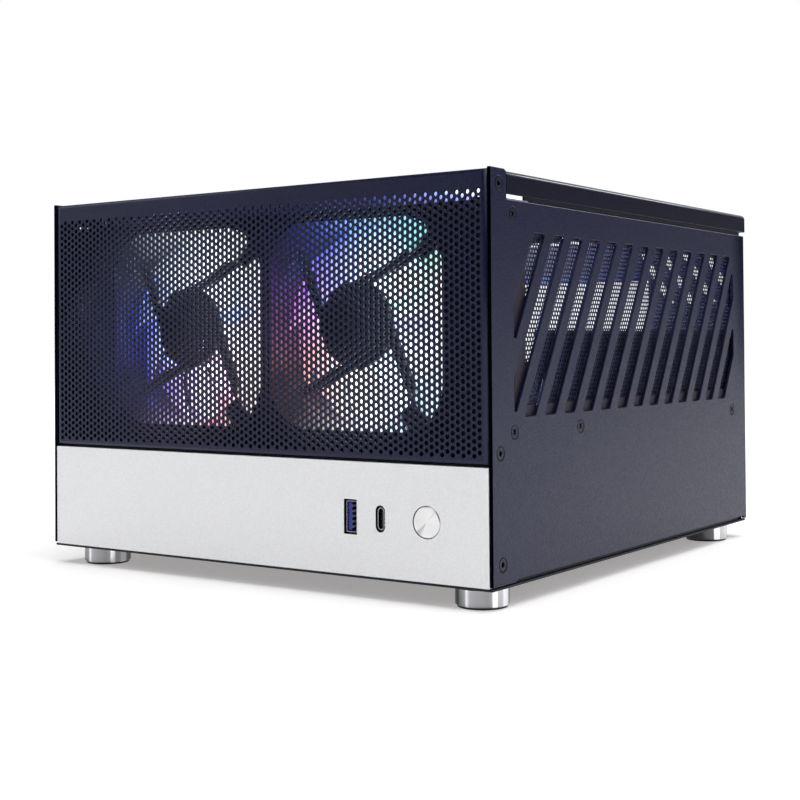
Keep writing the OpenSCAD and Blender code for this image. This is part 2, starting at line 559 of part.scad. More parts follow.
// ---- feet
module foot(i) translate([feet[i][0], feet[i][1], 0]) difference() {
    turned([[0, ground_z + 0.8], [foot_d / 2 - 0.5, ground_z + 0.8], [foot_d / 2, ground_z + 1.3],
        [foot_d / 2, floor_z0 - 0.4], [foot_d / 2 - 0.4, floor_z0], [0, floor_z0]]);
    translate([0, 0, floor_z0 - 5]) cylinder(h = 6, r = 2.05, $fn = 48);
}
module foot_front_left() { color("#c9ccd2") place() foot(0); }
module foot_front_right() { color("#c9ccd2") place() foot(1); }
module foot_rear_left() { color("#c9ccd2") place() foot(2); }
module foot_rear_right() { color("#c9ccd2") place() foot(3); }
module foot_pads() {
    color("#17181b") place() for (p = feet) translate([p[0], p[1], 0])
        turned([[0, ground_z], [foot_d / 2 - 1.1, ground_z], [foot_d / 2 - 0.7, ground_z + 0.4],
            [foot_d / 2 - 0.7, ground_z + 0.8], [0, ground_z + 0.8]]);
}
module foot_screws() {
    color("#b9bcc2") place() for (p = feet) translate([p[0], p[1], 0]) difference() {
        turned([[0, floor_z0 - 4.6], [2, floor_z0 - 4.6], [2, floor_z1], [3.6, floor_z1],
            [3.6, floor_z1 + 1.3], [2.6, floor_z1 + 2.3], [0, floor_z1 + 2.3]]);
        for (q = [0, 90]) rotate([0, 0, q]) translate([-2, -0.5, floor_z1 + 1]) cube([4, 1, 3]);
    }
}

right_side_panel();
left_side_panel();
base_tray();
rear_panel();
top_cover();
cover_rails();
cover_pins();
pin_grommets();
front_mesh_panel();
front_fascia();
fan_bracket();
fan_frame_left();
fan_frame_right();
fan_rotor_left();
fan_rotor_right();
fan_stator_left();
fan_stator_right();
fan_screws();
mid_tray();
board_standoffs();
filter_frame_left();
filter_frame_right();
filter_mesh_left();
filter_mesh_right();
slot_covers();
slot_cover_screws();
power_button_cap();
button_housing();
power_switch();
io_board();
io_bracket();
io_board_screws();
usb_a_shell();
usb_a_tongue();
usb_a_contacts();
usb_c_shell();
usb_c_tongue();
side_panel_screws();
front_hex_screws();
fascia_screws();
foot_front_left();
foot_front_right();
foot_rear_left();
foot_rear_right();
foot_pads();
foot_screws();
rear_panel_rivets();
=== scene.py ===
import json
import math

import bmesh
import bpy
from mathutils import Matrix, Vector
from mathutils.geometry import delaunay_2d_cdt
from mathutils.kdtree import KDTree

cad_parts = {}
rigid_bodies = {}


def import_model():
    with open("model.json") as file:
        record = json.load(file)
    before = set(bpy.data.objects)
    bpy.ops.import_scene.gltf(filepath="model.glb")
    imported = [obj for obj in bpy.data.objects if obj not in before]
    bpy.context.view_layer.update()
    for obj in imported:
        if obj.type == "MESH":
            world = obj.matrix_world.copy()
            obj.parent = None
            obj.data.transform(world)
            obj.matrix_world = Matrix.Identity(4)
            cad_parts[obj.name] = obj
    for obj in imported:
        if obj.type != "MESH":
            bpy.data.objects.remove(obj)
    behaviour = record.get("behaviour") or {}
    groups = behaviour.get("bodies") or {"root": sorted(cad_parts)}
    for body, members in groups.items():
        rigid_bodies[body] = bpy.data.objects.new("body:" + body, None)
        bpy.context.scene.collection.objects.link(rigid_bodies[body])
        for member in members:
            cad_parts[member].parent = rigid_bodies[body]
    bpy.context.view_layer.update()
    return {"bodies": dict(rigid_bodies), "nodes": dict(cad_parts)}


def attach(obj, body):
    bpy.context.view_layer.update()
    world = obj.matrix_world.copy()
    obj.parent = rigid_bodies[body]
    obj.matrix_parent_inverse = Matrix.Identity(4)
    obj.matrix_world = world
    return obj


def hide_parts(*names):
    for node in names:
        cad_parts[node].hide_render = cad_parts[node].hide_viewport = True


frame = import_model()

scene = bpy.context.scene
nodes = frame["nodes"]


def P(x, y, z):
    """A point of the case, in mm from its front plane and the panels' lower edge, in the row frame."""
    return Vector((x / 1000, (y - 130.85) / 1000, (z + 9.7) / 1000))


# ---------------------------------------------------------------- materials
class Look:
    """A Principled material whose colour, roughness and relief come from noise in object space."""

    def __init__(self, name, **sockets):
        self.m = bpy.data.materials.new(name)
        self.m.use_nodes = True
        self.t = self.m.node_tree
        self.s = next(n for n in self.t.nodes if n.type == "BSDF_PRINCIPLED")
        self.co = self.n("ShaderNodeTexCoord").outputs["Object"]
        for k, v in sockets.items():
            self.s.inputs[k.replace("_", " ")].default_value = v

    def n(self, kind, **props):
        node = self.t.nodes.new(kind)
        for k, v in props.items():
            setattr(node, k, v)
        return node

    def link(self, a, b):
        self.t.links.new(a, b)

    def noise(self, scale, detail=2.0, rough=0.5, stretch=None):
        n = self.n("ShaderNodeTexNoise")
        n.inputs["Scale"].default_value = scale
        n.inputs["Detail"].default_value = detail
        n.inputs["Roughness"].default_value = rough
        co = self.co
        if stretch:
            mp = self.n("ShaderNodeMapping")
            mp.inputs["Scale"].default_value = stretch
            self.link(co, mp.inputs["Vector"])
            co = mp.outputs["Vector"]
        self.link(co, n.inputs["Vector"])
        return n.outputs["Fac"]

    def ramp(self, fac, stops):
        r = self.n("ShaderNodeValToRGB")
        el = r.color_ramp.elements
        while len(el) < len(stops):
            el.new(0.5)
        for e, (p, c) in zip(el, stops):
            e.position = p
            e.color = (*c, 1) if len(c) == 3 else c
        self.link(fac, r.inputs["Fac"])
        return r.outputs["Color"]

    def span(self, fac, a, b, lo=0.3, hi=0.7):
        r = self.n("ShaderNodeMapRange")
        r.inputs["From Min"].default_value = lo
        r.inputs["From Max"].default_value = hi
        r.inputs["To Min"].default_value = a
        r.inputs["To Max"].default_value = b
        self.link(fac, r.inputs["Value"])
        return r.outputs["Result"]

    def math(self, op, a, b=None):
        n = self.n("ShaderNodeMath", operation=op)
        for i, v in enumerate((a, b)):
            if v is None:
                continue
            if isinstance(v, (int, float)):
                n.inputs[i].default_value = v
            else:
                self.link(v, n.inputs[i])
        return n.outputs[0]

    def colour(self, c1, c2, scale, detail=3.0, stretch=None):
        self.link(self.ramp(self.noise(scale, detail, stretch=stretch), [(0.32, c1), (0.68, c2)]),
                  self.s.inputs["Base Color"])
        return self

    def roughness(self, a, b, scale, stretch=None):
        self.link(self.span(self.noise(scale, 3.0, stretch=stretch), a, b), self.s.inputs["Roughness"])
        return self

    def relief(self, scale, depth, strength=1.0, stretch=None, detail=3.0):
        bump = self.n("ShaderNodeBump")
        bump.inputs["Strength"].default_value = strength
        bump.inputs["Distance"].default_value = depth
        self.link(self.noise(scale, detail, 0.55, stretch), bump.inputs["Height"])
        prev = self.s.inputs["Normal"].links
        if prev:
            self.link(prev[0].from_socket, bump.inputs["Normal"])
        self.link(bump.outputs["Normal"], self.s.inputs["Normal"])
        return self


def powder(name, c1, c2, grain=1250, depth=0.00012, r=(0.36, 0.5), strength=0.6):
    k = Look(name, Specular_IOR_Level=0.42, Specular_Tint=(0.7, 0.74, 1.0, 1))
    k.colour(c1, c2, 1100, 4)
    k.roughness(r[0], r[1], 900)
    k.relief(grain, depth, strength)
    return k.m


def plastic(name, c1, c2, r=(0.4, 0.55), depth=0.00003, grain=1800):
    k = Look(name, Specular_IOR_Level=0.45)
    k.colour(c1, c2, 700, 4)
    k.roughness(r[0], r[1], 500)
    k.relief(grain, depth, 0.35)
    return k.m


def metal(name, c1, c2, r=(0.2, 0.32), stretch=None, depth=0.00002, grain=2500, metallic=1.0, strength=0.3):
    k = Look(name, Metallic=metallic)
    k.colour(c1, c2, 900, 3, stretch)
    k.roughness(r[0], r[1], 1400, stretch)
    k.relief(grain, depth, strength, stretch)
    return k.m


def spun(name, centre, axis, c1, c2, r, anisotropy, rings=900.0, depth=0.000012):
    """Turned metal: fine rings round an axis through centre."""
    k = Look(name, Metallic=1.0, Anisotropic=anisotropy)
    sub = k.n("ShaderNodeVectorMath", operation="SUBTRACT")
    sub.inputs[1].default_value = centre
    k.link(k.co, sub.inputs[0])
    sep = k.n("ShaderNodeSeparateXYZ")
    k.link(sub.outputs[0], sep.inputs[0])
    others = [i for i in range(3) if i != axis]
    a, b = (sep.outputs[i] for i in others)
    rad = k.math("SQRT", k.math("ADD", k.math("MULTIPLY", a, a), k.math("MULTIPLY", b, b)))
    nz = k.n("ShaderNodeTexNoise", noise_dimensions="1D")
    nz.inputs["Scale"].default_value = rings
    nz.inputs["Detail"].default_value = 4
    k.link(rad, nz.inputs["W"])
    k.link(k.ramp(nz.outputs["Fac"], [(0.3, c1), (0.7, c2)]), k.s.inputs["Base Color"])
    k.link(k.span(nz.outputs["Fac"], r[0], r[1]), k.s.inputs["Roughness"])
    bump = k.n("ShaderNodeBump")
    bump.inputs["Strength"].default_value = 0.4
    bump.inputs["Distance"].default_value = depth
    k.link(nz.outputs["Fac"], bump.inputs["Height"])
    k.link(bump.outputs["Normal"], k.s.inputs["Normal"])
    tan = k.n("ShaderNodeTangent", direction_type="RADIAL", axis="XYZ"[axis])
    k.link(tan.outputs[0], k.s.inputs["Tangent"])
    return k.m


BTN = P(91.4, 0, 23)
M = {
    "case_powder": powder("case_powder", (0.0024, 0.003, 0.017), (0.007, 0.008, 0.034), r=(0.3, 0.44)),
    "inner_powder": powder("inner_powder", (0.003, 0.0035, 0.007), (0.006, 0.0065, 0.011), r=(0.5, 0.62)),
    "fascia_metal": metal("fascia_metal", (0.80, 0.81, 0.83), (0.87, 0.875, 0.89), (0.5, 0.58), None, 0.00003, 2600, 0.35),
    "button_metal": spun("button_metal", BTN, 1, (0.66, 0.67, 0.69), (0.9, 0.9, 0.92), (0.2, 0.32), 0.85),
    "foot_metal": metal("foot_metal", (0.66, 0.67, 0.7), (0.8, 0.8, 0.82), (0.07, 0.14), (1, 1, 12), 0.00001, 400),
    "rubber_black": plastic("rubber_black", (0.008, 0.008, 0.009), (0.016, 0.016, 0.017), (0.7, 0.85), 0.00006, 900),
    "fan_plastic": plastic("fan_plastic", (0.006, 0.007, 0.011), (0.012, 0.013, 0.018), (0.42, 0.52)),
    "copper_winding": metal("copper_winding", (0.36, 0.14, 0.05), (0.55, 0.25, 0.1), (0.25, 0.4), (1, 1, 8), 0.0002, 1500),
    "screw_black": powder("screw_black", (0.0012, 0.0014, 0.007), (0.004, 0.0045, 0.014), 2500, 0.00003, (0.34, 0.46)),
    "screw_steel": metal("screw_steel", (0.48, 0.49, 0.51), (0.62, 0.63, 0.65), (0.22, 0.34)),
    "brass": metal("brass", (0.55, 0.38, 0.13), (0.68, 0.5, 0.2), (0.2, 0.32)),
    "filter_border": powder("filter_border", (0.010, 0.007, 0.012), (0.018, 0.012, 0.021), 1250, 0.0001, (0.45, 0.58)),
    "filter_screen": plastic("filter_screen", (0.02, 0.024, 0.062), (0.032, 0.037, 0.088), (0.45, 0.6)),
    "board_green": plastic("board_green", (0.008, 0.06, 0.028), (0.014, 0.095, 0.045), (0.28, 0.4), 0.00006, 420),
    "socket_steel": metal("socket_steel", (0.3, 0.31, 0.33), (0.42, 0.43, 0.45), (0.2, 0.32)),
    "tongue_blue": plastic("tongue_blue", (0.008, 0.03, 0.42), (0.014, 0.05, 0.6), (0.3, 0.42)),
    "tongue_black": plastic("tongue_black", (0.009, 0.009, 0.011), (0.016, 0.016, 0.018), (0.35, 0.5)),
    "contact_gold": metal("contact_gold", (0.78, 0.72, 0.6), (0.9, 0.84, 0.7), (0.55, 0.65)),
    "sleeve_plastic": plastic("sleeve_plastic", (0.01, 0.01, 0.013), (0.018, 0.018, 0.022), (0.4, 0.55)),
}

SLOTS = {
    "case_powder": ["right_side_panel", "left_side_panel", "top_cover", "front_mesh_panel"],
    "inner_powder": ["base_tray", "rear_panel", "cover_rails", "fan_bracket", "mid_tray", "slot_covers"],
    "fascia_metal": ["front_fascia"],
    "button_metal": ["power_button_cap"],
    "foot_metal": ["foot_front_left", "foot_front_right", "foot_rear_left", "foot_rear_right"],
    "rubber_black": ["pin_grommets", "foot_pads"],
    "fan_plastic": ["fan_frame_left", "fan_frame_right"],
    "copper_winding": ["fan_stator_left", "fan_stator_right"],
    "screw_black": ["fan_screws", "side_panel_screws", "front_hex_screws"],
    "screw_steel": ["cover_pins", "slot_cover_screws", "io_board_screws", "fascia_screws", "foot_screws",
                    "rear_panel_rivets", "io_bracket"],
    "brass": ["board_standoffs"],
    "filter_border": ["filter_frame_left", "filter_frame_right"],
    "board_green": ["io_board"],
    "socket_steel": ["usb_a_shell", "usb_c_shell"],
    "tongue_blue": ["usb_a_tongue"],
    "tongue_black": ["usb_c_tongue"],
    "contact_gold": ["usb_a_contacts"],
    "sleeve_plastic": ["button_housing", "power_switch"],
}
for slot_name, names in SLOTS.items():
    for n in names:
        me = nodes[n].data
        for i in range(len(me.materials)):
            me.materials[i] = M[slot_name]
        if not me.materials:
            me.materials.append(M[slot_name])


def body_for(node):
    o = nodes[node]
    while o.parent is not None and o.parent not in frame["bodies"].values():
        o = o.parent
    return next(k for k, v in frame["bodies"].items() if v == o.parent)


def add(name, verts, faces, body, slot_name, stands_for=(), smooth=None, mat=None):
    me = bpy.data.meshes.new(name)
    me.from_pydata([tuple(v) for v in verts], [], faces)
    me.materials.append(mat or M[slot_name])
    if smooth is True:
        me.polygons.foreach_set("use_smooth", [True] * len(me.polygons))
    elif smooth:
        me.polygons.foreach_set("use_smooth", smooth)
    me.update()
    o = bpy.data.objects.new(name, me)
    scene.collection.objects.link(o)
    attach(o, body)
    if stands_for:
        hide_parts(*stands_for)
    return o


# ---------------------------------------------------------------- pieces with their edges broken
def broken(node, slot_name, width, flat=False, segments=2, angle=28, mat=None):
    """The CAD piece again, welded, with a small round on every sharp edge."""
    src = nodes[node]
    bm = bmesh.new()
    bm.from_mesh(src.data)
    bm.transform(src.matrix_world)
    bmesh.ops.remove_doubles(bm, verts=bm.verts, dist=2e-6)
    for f in bm.faces:
        f.smooth = not flat
    me = bpy.data.meshes.new(node + ".look")
    bm.to_mesh(me)
    bm.free()
    me.materials.clear()
    me.materials.append(mat or M[slot_name])
    for a in ("custom_normal",):
        if a in me.attributes:
            me.attributes.remove(me.attributes[a])
    o = bpy.data.objects.new(node + ".look", me)
    scene.collection.objects.link(o)
    b = o.modifiers.new("edges", "BEVEL")
    b.width = width / 1000
    b.segments = segments
    b.limit_method = "ANGLE"
    b.angle_limit = math.radians(angle)
    b.use_clamp_overlap = False
    b.harden_normals = not flat
    b.miter_outer = "MITER_ARC"
    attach(o, body_for(node))
    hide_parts(node)
    return o


for node, slot_name, width, *flat in (
    ("right_side_panel", "case_powder", 0.26, True),
    ("left_side_panel", "case_powder", 0.26, True),
    ("top_cover", "case_powder", 0.2, True),
    ("front_fascia", "fascia_metal", 0.12, True),
    ("base_tray", "inner_powder", 0.15, True),
    ("rear_panel", "inner_powder", 0.15, True),
    ("fan_bracket", "inner_powder", 0.15, True),
    ("mid_tray", "inner_powder", 0.15, True),
    ("slot_covers", "inner_powder", 0.15, True),
    ("filter_frame_left", "filter_border", 0.15, True),
    ("filter_frame_right", "filter_border", 0.15, True),
    ("fan_frame_left", "fan_plastic", 0.3),
    ("fan_frame_right", "fan_plastic", 0.3),
    ("power_button_cap", "button_metal", 0.12),
    ("side_panel_screws", "screw_black", 0.22),
    ("front_hex_screws", "screw_black", 0.22),
    ("usb_a_shell", "socket_steel", 0.08),
    ("usb_a_tongue", "tongue_blue", 0.1),
    ("usb_c_shell", "socket_steel", 0.08),
    ("usb_c_tongue", "tongue_black", 0.06),
    ("foot_front_left", "foot_metal", 0.15),
    ("foot_front_right", "foot_metal", 0.15),
    ("foot_rear_left", "foot_metal", 0.15),
    ("foot_rear_right", "foot_metal", 0.15),
):
    broken(node, slot_name, width, bool(flat))


# the side panels: edges worked in, points put back on the two exact planes, outer face filled again
bpy.context.view_layer.update()
graph = bpy.context.evaluated_depsgraph_get()
for side in ("left", "right"):
    o = bpy.data.objects[side + "_side_panel.look"]
    xs = [abs(v.co.x) for v in o.data.vertices]
    planes = (max(xs), min(xs))   # outer and inner
    me = bpy.data.meshes.new_from_object(o.evaluated_get(graph), depsgraph=graph)
    me.name = o.name
    o.modifiers.clear()
    o.data = me
    for v in me.vertices:
        for x in planes:
            if abs(abs(v.co.x) - x) < 4e-6:
                v.co.x = math.copysign(x, v.co.x)
    bm = bmesh.new()
    bm.from_mesh(me)
    bmesh.ops.remove_doubles(bm, verts=bm.verts, dist=1e-6)
    sign = 1 if side == "right" else -1
    on = [f for f in bm.faces if all(abs(v.co.x - planes[0] * sign) < 1e-7 for v in f.verts)]
    bmesh.ops.delete(bm, geom=on, context="FACES_ONLY")
    bmesh.ops.delete(bm, geom=[e for e in bm.edges if not e.link_faces], context="EDGES")
    rim = [e for e in bm.edges if len(e.link_faces) == 1]
    bmesh.ops.triangle_fill(bm, use_beauty=True, edges=rim, normal=(sign, 0, 0))
    for f in bm.faces:
        f.smooth = False
    bm.to_mesh(me)
    bm.free()

# ---------------------------------------------------------------- looks that follow the piece's own axis
def mixed(k, fac, a, b, blend="MIX"):
    m = k.n("ShaderNodeMix", data_type="RGBA", blend_type=blend)
    if isinstance(fac, float):
        m.inputs[0].default_value = fac
    else:
        k.link(fac, m.inputs[0])
    k.link(a, m.inputs[6])
    k.link(b, m.inputs[7])
    return m.outputs[2]


def around(k, centre, axis):
    """Turn (0 to 1) round an axis through centre: 2 for upright, 1 for front to back."""
    sub = k.n("ShaderNodeVectorMath", operation="SUBTRACT")
    sub.inputs[1].default_value = centre
    k.link(k.co, sub.inputs[0])
    sep = k.n("ShaderNodeSeparateXYZ")
    k.link(sub.outputs[0], sep.inputs[0])
    return k.math("ADD", k.math("DIVIDE", k.math("ARCTAN2", sep.outputs[1 if axis == 2 else 2], sep.outputs[0]), 2 * math.pi), 0.5)


def foot_look(name, centre, bands):
    """Turned foot: upright bands of light and shade round a polished rim."""
    k = Look(name, Metallic=1.0)
    k.link(k.ramp(around(k, centre, 2), [(a, (v, v * 1.01, v * 1.06)) for a, v in bands]), k.s.inputs["Base Color"])
    k.roughness(0.1, 0.18, 1400, (1, 1, 12))
    k.relief(400, 0.00001, 0.3, (1, 1, 12))
    return k.m


BANDS = [(0.0, 0.5), (0.06, 0.85), (0.12, 0.04), (0.16, 0.06), (0.2, 0.2), (0.228, 0.3), (0.238, 0.8), (0.25, 0.6), (0.262, 0.36),
         (0.3, 0.3), (0.37, 0.24), (0.392, 0.3), (0.4, 0.95), (0.425, 0.95), (0.433, 0.45), (0.465, 0.5), (0.475, 0.85), (0.515, 0.8),
         (0.53, 0.25), (0.6, 0.08), (0.7, 0.5), (0.8, 0.9), (0.85, 0.3), (0.95, 0.2)]
REAR = [(0.0, 0.5), (0.06, 0.6), (0.12, 0.04), (0.2, 0.06), (0.33, 0.1), (0.372, 0.12), (0.382, 0.95), (0.42, 0.95), (0.432, 0.5),
        (0.5, 0.6), (0.55, 0.2), (0.7, 0.5), (0.8, 0.9), (0.9, 0.3)]
for name, x, y, bands in (("front_left", -101, 14.5, BANDS), ("front_right", 108.9, 12.9, BANDS),
                          ("rear_left", -101, 235.4, REAR), ("rear_right", 108.9, 235.4, REAR)):
    m = foot_look("foot_metal_" + name, P(x, y, 0), bands)
    bpy.data.objects["foot_%s.look" % name].data.materials[0] = m

# spun button: bright cone with one shaded wedge
k = Look("button_spun", Metallic=1.0)
k.link(k.ramp(around(k, P(91.4, 0, 23), 1), [
    (0.0, (0.76, 0.76, 0.77)), (0.095, (0.78, 0.78, 0.79)), (0.13, (0.46, 0.47, 0.53)), (0.145, (0.5, 0.51, 0.57)), (0.19, (0.8, 0.8, 0.8)),
    (0.4, (0.78, 0.78, 0.79)), (0.6, (0.82, 0.82, 0.82)), (0.63, (0.68, 0.69, 0.7)), (0.65, (0.82, 0.82, 0.82)), (1.0, (0.76, 0.76, 0.77))]),
    k.s.inputs["Base Color"])
k.roughness(0.3, 0.36, 3000)
k.relief(5000, 0.000003, 0.3)
bpy.data.objects["power_button_cap.look"].data.materials[0] = k.m

# fascia: the walls of the two socket windows coloured near black
k = Look("fascia_dark_windows", Metallic=1.0)
tone = k.ramp(k.noise(1800, 3.0), [(0.32, (0.80, 0.81, 0.83)), (0.68, (0.87, 0.875, 0.89))])
sep = k.n("ShaderNodeSeparateXYZ")
k.link(k.co, sep.inputs[0])
mask = 0.0
for cx, hx, hz in ((54.3, 3.5, 7.3), (69.2, 2.5, 5.6)):
    c = P(cx, 0.13, 23)
    dx = k.math("LESS_THAN", k.math("ABSOLUTE", k.math("SUBTRACT", sep.outputs[0], c.x)), hx / 1000)
    dz = k.math("LESS_THAN", k.math("ABSOLUTE", k.math("SUBTRACT", sep.outputs[2], c.z)), hz / 1000)
    dy = k.math("GREATER_THAN", sep.outputs[1], c.y)
    mask = k.math("ADD", k.math("MULTIPLY", k.math("MULTIPLY", dx, dz), dy), mask)
# the walls of the two socket windows coloured near black
window_walls_dark = k.ramp(mask, [(0.0, (1, 1, 1)), (1.0, (0.012, 0.012, 0.015))])
k.link(mixed(k, 1.0, tone, window_walls_dark, "MULTIPLY"), k.s.inputs["Base Color"])
k.roughness(0.5, 0.58, 1400)
k.relief(2600, 0.00003, 0.35)
bpy.data.objects["front_fascia.look"].data.materials[0] = k.m


def sunk(name, c1, c2, metallic):
    """Colour that is lost in the dark of the socket a few millimetres in."""
    k = Look(name, Metallic=metallic, Roughness=0.4)
    sep = k.n("ShaderNodeSeparateXYZ")
    k.link(k.co, sep.inputs[0])
    deep = k.ramp(k.span(sep.outputs[1], 0, 1, P(0, 1, 0).y, P(0, 5, 0).y), [(0.0, (1, 1, 1)), (0.3, (0.8, 0.8, 0.8)), (0.62, (0.03, 0.03, 0.03))])
    k.link(mixed(k, 1.0, k.ramp(k.noise(1500, 2.0), [(0.32, c1), (0.68, c2)]), deep, "MULTIPLY"), k.s.inputs["Base Color"])
    k.relief(1500, 0.00002, 0.3)
    return k.m


bpy.data.objects["usb_a_tongue.look"].data.materials[0] = sunk("tongue_blue_sunk", (0.006, 0.018, 0.26), (0.01, 0.03, 0.38), 0.0)

# side panels: painted shade along the cut front edge and the upper rear edge, where the coat is made metallic and near
# black, and a painted highlight along the top edge
k = Look("case_powder_side", Specular_IOR_Level=0.38, Specular_Tint=(0.66, 0.7, 1.0, 1))
coat = k.ramp(k.noise(1100, 4), [(0.32, (0.0024, 0.003, 0.019)), (0.68, (0.007, 0.008, 0.037))])
k.roughness(0.3, 0.44, 900)
k.relief(1250, 0.00016, 0.8)
sep = k.n("ShaderNodeSeparateXYZ")
k.link(k.co, sep.inputs[0])
front, rear = P(0, 0, 0).y, P(0, 259.7, 0).y
# painted shade: the front edge made metallic and near black
painted_front_shade = k.ramp(k.span(sep.outputs[1], 0, 1, front, front + 0.001), [(0.0, (1, 1, 1)), (0.2, (1, 1, 1)), (0.35, (0, 0, 0))])
# painted shade: the upper part of the panel made metallic and near black, darker towards the rear edge
painted_rear_shade = k.math("MULTIPLY",
              k.ramp(k.span(sep.outputs[1], 0, 1, rear - 0.018, rear), [(0.0, (0, 0, 0)), (0.4, (0.4, 0.4, 0.4)), (0.75, (0.9, 0.9, 0.9)), (1.0, (0.97, 0.97, 0.97))]),
              k.ramp(k.span(sep.outputs[2], 0, 1, P(0, 0, 0).z, P(0, 0, 160).z), [(0.4, (0, 0, 0)), (0.6, (0.75, 0.75, 0.75)), (0.8, (1, 1, 1))]))
painted_edge_shade = k.math("MAXIMUM", painted_front_shade, painted_rear_shade)
k.link(painted_edge_shade, k.s.inputs["Metallic"])
# painted highlight: a lighter grey band along the top edge, behind the front
edge = k.math("MULTIPLY", k.ramp(k.span(sep.outputs[2], 0, 1, P(0, 0, 148.4).z, P(0, 0, 149.4).z), [(0.0, (0, 0, 0)), (0.1, (0, 0, 0)), (0.2, (1, 1, 1)), (1.0, (1, 1, 1))]),
              k.math("GREATER_THAN", sep.outputs[1], P(0, 12.4, 0).y))
k.link(mixed(k, edge, mixed(k, 1.0, coat, k.ramp(painted_edge_shade, [(0.0, (1, 1, 1)), (1.0, (0.1, 0.1, 0.05))]), "MULTIPLY"),
             k.ramp(k.noise(1100, 4), [(0.3, (0.16, 0.165, 0.21)), (0.7, (0.2, 0.205, 0.26))])), k.s.inputs["Base Color"])
M["case_powder_side"] = k.m
for side in ("left", "right"):
    bpy.data.objects[side + "_side_panel.look"].data.materials[0] = k.m


# ---------------------------------------------------------------- perforated sheets
def perforation(cells, near, hexagon, sides, radius, box):
    """Plane mesh of a rectangle with one round hole in each cell of a staggered lattice.
    cells maps a lattice index to its centre; near gives a point's lattice index.
    Returns points, triangles, the holes' rims and the rectangle's four corners."""
    pts, key, tris, rims, count, shape = [], {}, [], [], {}, {}
    r = radius / math.sqrt(math.sin(2 * math.pi / sides) * sides / (2 * math.pi))
    m = len(hexagon)
    hex_angle = [math.atan2(v, u) % (2 * math.pi) for u, v in hexagon]
    start = min(range(m), key=lambda i: hex_angle[i])
    hexagon = hexagon[start:] + hexagon[:start]
    hex_angle = hex_angle[start:] + hex_angle[:start]
    rim_angle = [2 * math.pi * (i + 0.5) / sides for i in range(sides)]
    # order in which outer and inner points are joined
    pattern, i, j = [], 0, 0
    while i < m or j < sides:
        ha = hex_angle[i] if i < m else 99
        ra = rim_angle[j] if j < sides else 99
        if ha <= ra:
            pattern.append(("h", i % m, (i + 1) % m, j % sides))
            i += 1
        else:
            pattern.append(("r", j % sides, (j + 1) % sides, i % m))
            j += 1
    for idx in sorted(cells):
        cu, cv = cells[idx]
        outer = []
        for hu, hv in hexagon:
            k = (round((cu + hu) * 2000), round((cv + hv) * 2000))
            found = None
            for dk in ((0, 0), (1, 0), (-1, 0), (0, 1), (0, -1), (1, 1), (-1, -1), (1, -1), (-1, 1)):
                found = key.get((k[0] + dk[0], k[1] + dk[1]))
                if found is not None:
                    break
            if found is None:
                found = len(pts)
                key[k] = found
                pts.append((min(max(cu + hu, box[0] + 0.15), box[2] - 0.15), cv + hv))
            outer.append(found)
        shape[idx] = outer
        inner = list(range(len(pts), len(pts) + sides))
        pts.extend((cu + r * math.cos(a), cv + r * math.sin(a)) for a in rim_angle)
        rims.append(inner)
        for kind, a, b, c in pattern:
            if kind == "h":
                tris.append((outer[a], outer[b], inner[c]))
            else:
                tris.append((inner[b], inner[a], outer[c]))
        for a, b in zip(outer, outer[1:] + outer[:1]):
            e = (min(a, b), max(a, b))
            count[e] = count.get(e, 0) + 1
    edge = [e for e, c in count.items() if c == 1]
    used = sorted({v for e in edge for v in e})
    local = {v: i for i, v in enumerate(used)}
    u0, v0, u1, v1 = box
    corners = [len(pts) + i for i in range(4)]
    pts.extend([(u0, v0), (u1, v0), (u1, v1), (u0, v1)])
    k = len(used)
    flat = [Vector(pts[v]) for v in used] + [Vector(pts[c]) for c in corners]
    lines = [(local[a], local[b]) for a, b in edge] + [(k, k + 1), (k + 1, k + 2), (k + 2, k + 3), (k + 3, k)]
    ov, _, of = delaunay_2d_cdt(flat, lines, [], 0, 1e-5)[:3]
    tree = KDTree(len(flat))
    for i, p in enumerate(flat):
        tree.insert((p.x, p.y, 0), i)
    tree.balance()

    def in_cell(u, v):
        at = near(u, v)
        if at not in shape:
            return False
        loop = [pts[i] for i in shape[at]]
        return all((bu - au) * (v - av) - (bv - av) * (u - au) > -1e-4
                   for (au, av), (bu, bv) in zip(loop, loop[1:] + loop[:1]))

    back = []
    for p in ov:
        _, s, far = tree.find((p.x, p.y, 0))
        if far > 1e-3:
            raise ValueError("a point that isn't in the sheet's outline: %.4f mm" % far)
        back.append(used[s] if s < k else corners[s - k])
    for f in of:
        cu = sum(ov[i][0] for i in f) / 3
        cv = sum(ov[i][1] for i in f) / 3
        if in_cell(cu, cv):
            continue
        t = [back[i] for i in f]
        (ax, ay), (bx, by), (cx, cy) = (pts[i] for i in t)
        if (bx - ax) * (cy - ay) - (by - ay) * (cx - ax) < 0:
            t.reverse()
        tris.append(tuple(t))
    # every triangle turns the same way
    fixed = []
    for t in tris:
        (ax, ay), (bx, by), (cx, cy) = (pts[i] for i in t)
        fixed.append(t if (bx - ax) * (cy - ay) - (by - ay) * (cx - ax) > 0 else (t[0], t[2], t[1]))
    return pts, fixed, rims, corners


# front panel: 96 columns of 36 round holes, folded sheet with rounded edges
DX, DZ = 2.445, 2.866


def front_centre(c, r):
    return ((c - 47.5) * DX, 151.5 - r * DZ - (DZ / 2 if c % 2 == 0 else 0))


def front_near(u, v):
    best, at = 1e9, None
    c0 = round(u / DX + 47.5)
    for c in (c0 - 1, c0, c0 + 1):
        r = round((151.5 - (DZ / 2 if c % 2 == 0 else 0) - v) / DZ)
        cu, cv = front_centre(c, r)
        d = (cu - u) ** 2 + (cv - v) ** 2
        if d < best:
            best, at = d, (c, r)
    return at


